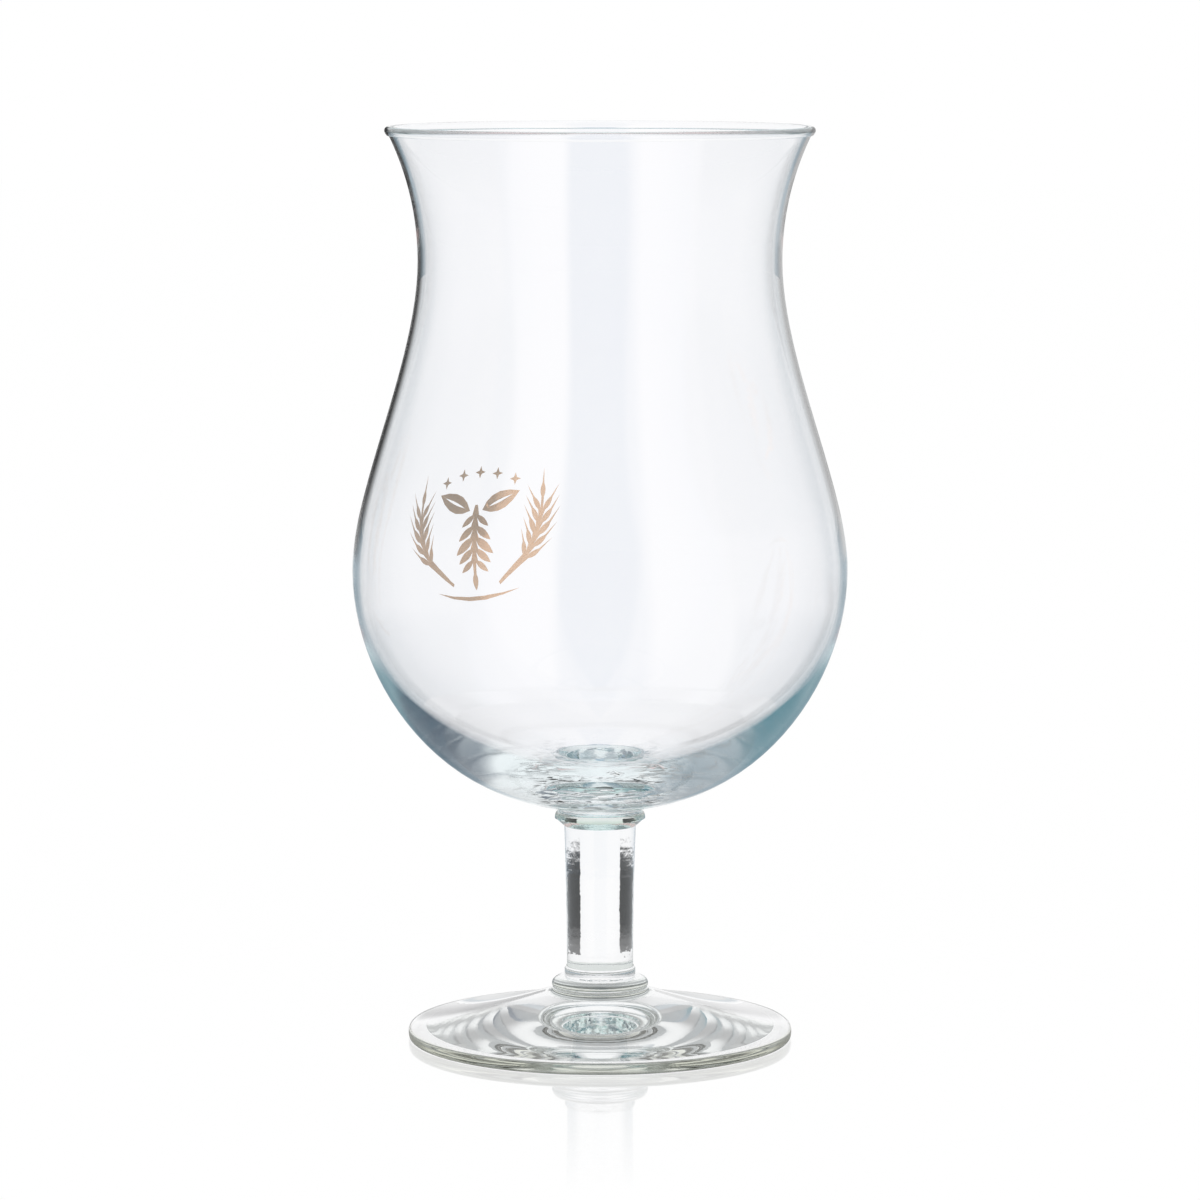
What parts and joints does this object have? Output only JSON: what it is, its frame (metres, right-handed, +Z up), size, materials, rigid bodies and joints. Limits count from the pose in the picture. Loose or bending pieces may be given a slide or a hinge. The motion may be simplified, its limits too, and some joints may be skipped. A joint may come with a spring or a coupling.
{
  "type": "stemmed beer glass",
  "caption": "Clear stemmed tulip beer glass: bellied bowl with waisted neck and flared rim on a short solid stem and round foot, with a gold hop and barley print.",
  "frame": {"origin": "on the table, in the middle of the ring that the foot stands on", "axes": "+Z up along the stem, -Y towards the viewer of the picture, +X to the viewer's right"},
  "size_m": [0.0892, 0.0892, 0.165],
  "materials": {
    "clear_glass": "fire-polished clear soda-lime glass",
    "gold_print": "fired metallic gold print, glossy"
  },
  "bodies": {
    "root": {"foot": "clear_glass", "foot_collar": "clear_glass", "stem": "clear_glass", "bowl_collar": "clear_glass", "bowl": "clear_glass", "print_hop_cone": "gold_print", "print_leaf_left": "gold_print", "print_leaf_right": "gold_print", "print_barley_left": "gold_print", "print_barley_right": "gold_print", "print_star_1": "gold_print", "print_star_2": "gold_print", "print_star_3": "gold_print", "print_star_4": "gold_print", "print_star_5": "gold_print", "print_swag": "gold_print"}
  },
  "joints": []
}
